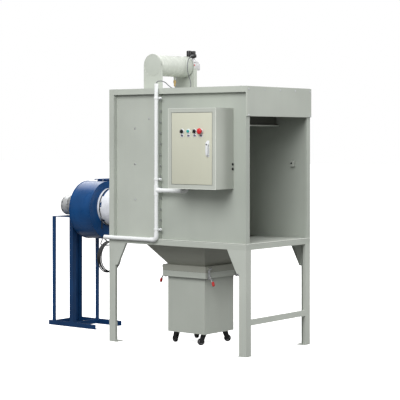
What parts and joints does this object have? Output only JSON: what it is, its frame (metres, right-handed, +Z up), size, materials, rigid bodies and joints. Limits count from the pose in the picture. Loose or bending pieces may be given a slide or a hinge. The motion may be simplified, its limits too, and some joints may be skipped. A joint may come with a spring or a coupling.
{
  "type": "spray booth with dust collection",
  "caption": "Open-front sheet-metal dust booth on legs, with a wheeled hopper bin, control box, pulse air tank and a ducted blower on a stand.",
  "frame": {"origin": "centre of the whole footprint (cabinet, control box and fan stand), on the floor", "axes": "+Z up, the open front faces -Y, the control box is on the -X side, the fan is at +Y"},
  "size_m": [1.1332, 2.436, 2.333],
  "materials": {
    "cabinet_grey": "satin powder coat, light grey-green",
    "door_beige": "fine textured beige powder coat",
    "fan_blue": "glossy blue enamel",
    "latch_steel": "zinc-plated steel with a red dipped grip",
    "caster_black": "black stamped steel",
    "caster_wheel": "black rubber tread",
    "filter_media": "white pleated polyester",
    "pipe_steel": "galvanised pipe",
    "valve_body": "die-cast aluminium with a black coil",
    "regulator_knob": "red plastic",
    "handle_metal": "satin chrome",
    "selector_black": "black plastic",
    "button_green": "green plastic",
    "button_red": "red plastic",
    "contactor_board": "galvanised plate with moulded devices",
    "conduit_white": "white PVC pipe",
    "gland_grey": "grey flexible elbow",
    "cable_grey": "grey cable sheath",
    "cable_black": "black rubber sheath",
    "impeller": "cast aluminium",
    "motor_silver": "silver-grey enamel",
    "duct_cloth": "white woven duct cloth"
  },
  "bodies": {
    "root": {"leg_front_left": "cabinet_grey", "leg_front_right": "cabinet_grey", "leg_rear_left": "cabinet_grey", "leg_rear_right": "cabinet_grey", "base_frame": "cabinet_grey", "floor_pan": "cabinet_grey", "front_brace": "cabinet_grey", "hopper": "cabinet_grey", "side_panel_left_front": "cabinet_grey", "side_panel_left_rear": "cabinet_grey", "side_panel_right_front": "cabinet_grey", "side_panel_right_rear": "cabinet_grey", "rear_panel": "cabinet_grey", "roof_cap": "cabinet_grey", "header_fascia": "cabinet_grey", "baffle_plate": "cabinet_grey", "tube_sheet": "cabinet_grey", "air_tank": "cabinet_grey", "tank_support_near": "cabinet_grey", "tank_support_far": "cabinet_grey", "control_box_shell": "cabinet_grey", "fan_housing": "fan_blue", "fan_stand": "fan_blue", "filter_upper": "filter_media", "filter_lower": "filter_media", "blow_pipe_upper": "pipe_steel", "blow_pipe_lower": "pipe_steel", "pulse_valve_upper": "valve_body", "pulse_valve_lower": "valve_body", "air_regulator": "valve_body", "contactor_board": "contactor_board", "conduit": "conduit_white", "box_gland": "gland_grey", "valve_cable": "cable_grey", "fan_cable": "cable_black", "fan_cable_coil": "cable_black", "motor_body": "motor_silver", "terminal_box": "motor_silver", "duct_sleeve": "duct_cloth"},
    "bin": {"bin_shell": "cabinet_grey"},
    "door": {"control_box_door": "door_beige"},
    "handle": {"door_handle": "handle_metal"},
    "mode_selector": {"selector_mode": "selector_black"},
    "cleaning_selector": {"selector_cleaning": "selector_black"},
    "start": {"start_button": "button_green"},
    "stop": {"emergency_stop": "button_red"},
    "fan_wheel": {"fan_impeller": "impeller"},
    "pressure_knob": {"regulator_knob": "regulator_knob"},
    "swivel_near_rear": {"caster_fork_near_rear": "caster_black"},
    "wheel_near_rear": {"caster_wheel_near_rear": "caster_wheel"},
    "swivel_near_front": {"caster_fork_near_front": "caster_black"},
    "wheel_near_front": {"caster_wheel_near_front": "caster_wheel"},
    "swivel_far_front": {"caster_fork_far_front": "caster_black"},
    "wheel_far_front": {"caster_wheel_far_front": "caster_wheel"},
    "swivel_far_rear": {"caster_fork_far_rear": "caster_black"},
    "wheel_far_rear": {"caster_wheel_far_rear": "caster_wheel"},
    "latch_front_near": {"latch_front_near": "latch_steel"},
    "latch_front_far": {"latch_front_far": "latch_steel"},
    "latch_rear_near": {"latch_rear_near": "latch_steel"},
    "latch_rear_far": {"latch_rear_far": "latch_steel"}
  },
  "joints": [
    {"name": "bin_slide", "type": "slide", "parent": "root", "child": "bin", "axis": [-1, 0, 0], "range_m": [0, 0.9]},
    {"name": "caster_swivel_near_rear", "type": "hinge", "parent": "bin", "child": "swivel_near_rear", "pos_m": [-0.06185, -0.316, 0.085], "axis": [0, 0, 1], "continuous": true},
    {"name": "caster_roll_near_rear", "type": "hinge", "parent": "swivel_near_rear", "child": "wheel_near_rear", "pos_m": [-0.05616, -0.29475, 0.0275], "axis": [-0.9659, 0.2588, 0], "continuous": true},
    {"name": "caster_swivel_near_front", "type": "hinge", "parent": "bin", "child": "swivel_near_front", "pos_m": [-0.06185, -0.586, 0.085], "axis": [0, 0, 1], "continuous": true},
    {"name": "caster_roll_near_front", "type": "hinge", "parent": "swivel_near_front", "child": "wheel_near_front", "pos_m": [-0.07539, -0.56866, 0.0275], "axis": [-0.788, -0.6157, 0], "continuous": true},
    {"name": "caster_swivel_far_front", "type": "hinge", "parent": "bin", "child": "swivel_far_front", "pos_m": [0.20815, -0.586, 0.085], "axis": [0, 0, 1], "continuous": true},
    {"name": "caster_roll_far_front", "type": "hinge", "parent": "swivel_far_front", "child": "wheel_far_front", "pos_m": [0.225, -0.60014, 0.0275], "axis": [0.6428, 0.766, 0], "continuous": true},
    {"name": "caster_swivel_far_rear", "type": "hinge", "parent": "bin", "child": "swivel_far_rear", "pos_m": [0.20815, -0.316, 0.085], "axis": [0, 0, 1], "continuous": true},
    {"name": "caster_roll_far_rear", "type": "hinge", "parent": "swivel_far_rear", "child": "wheel_far_rear", "pos_m": [0.21567, -0.29533, 0.0275], "axis": [-0.9397, 0.342, 0], "continuous": true},
    {"name": "latch_swing_front_near", "type": "hinge", "parent": "root", "child": "latch_front_near", "pos_m": [-0.10385, -0.68, 0.602], "axis": [-1, 0, 0], "range_deg": [0, 95]},
    {"name": "latch_swing_front_far", "type": "hinge", "parent": "root", "child": "latch_front_far", "pos_m": [0.25015, -0.68, 0.602], "axis": [-1, 0, 0], "range_deg": [0, 95]},
    {"name": "latch_swing_rear_near", "type": "hinge", "parent": "root", "child": "latch_rear_near", "pos_m": [-0.10385, -0.222, 0.602], "axis": [1, 0, 0], "range_deg": [0, 95]},
    {"name": "latch_swing_rear_far", "type": "hinge", "parent": "root", "child": "latch_rear_far", "pos_m": [0.25015, -0.222, 0.602], "axis": [1, 0, 0], "range_deg": [0, 95]},
    {"name": "door_hinge", "type": "hinge", "parent": "root", "child": "door", "pos_m": [-0.53015, -0.6492, 1.5365], "axis": [0, 0, -1], "range_deg": [0, 115]},
    {"name": "handle_turn", "type": "hinge", "parent": "door", "child": "handle", "pos_m": [-0.53165, -0.9952, 1.5665], "axis": [1, 0, 0], "range_deg": [0, 90]},
    {"name": "mode_selector_turn", "type": "hinge", "parent": "door", "child": "mode_selector", "pos_m": [-0.53165, -0.7502, 1.665], "axis": [1, 0, 0], "range_deg": [-45, 45]},
    {"name": "cleaning_selector_turn", "type": "hinge", "parent": "door", "child": "cleaning_selector", "pos_m": [-0.53165, -0.8702, 1.665], "axis": [1, 0, 0], "range_deg": [-45, 45]},
    {"name": "start_press", "type": "slide", "parent": "door", "child": "start", "axis": [1, 0, 0], "range_m": [0, 0.004], "stiffness_N_per_m": 900},
    {"name": "stop_press", "type": "slide", "parent": "door", "child": "stop", "axis": [1, 0, 0], "range_m": [0, 0.005]},
    {"name": "fan_spin", "type": "hinge", "parent": "root", "child": "fan_wheel", "pos_m": [0.23565, 0.794, 1.03], "axis": [0, 1, 0], "continuous": true},
    {"name": "pressure_knob_turn", "type": "hinge", "parent": "root", "child": "pressure_knob", "pos_m": [0.43465, -0.083, 2.194], "axis": [0, 1, 0], "range_deg": [-720, 720]}
  ]
}
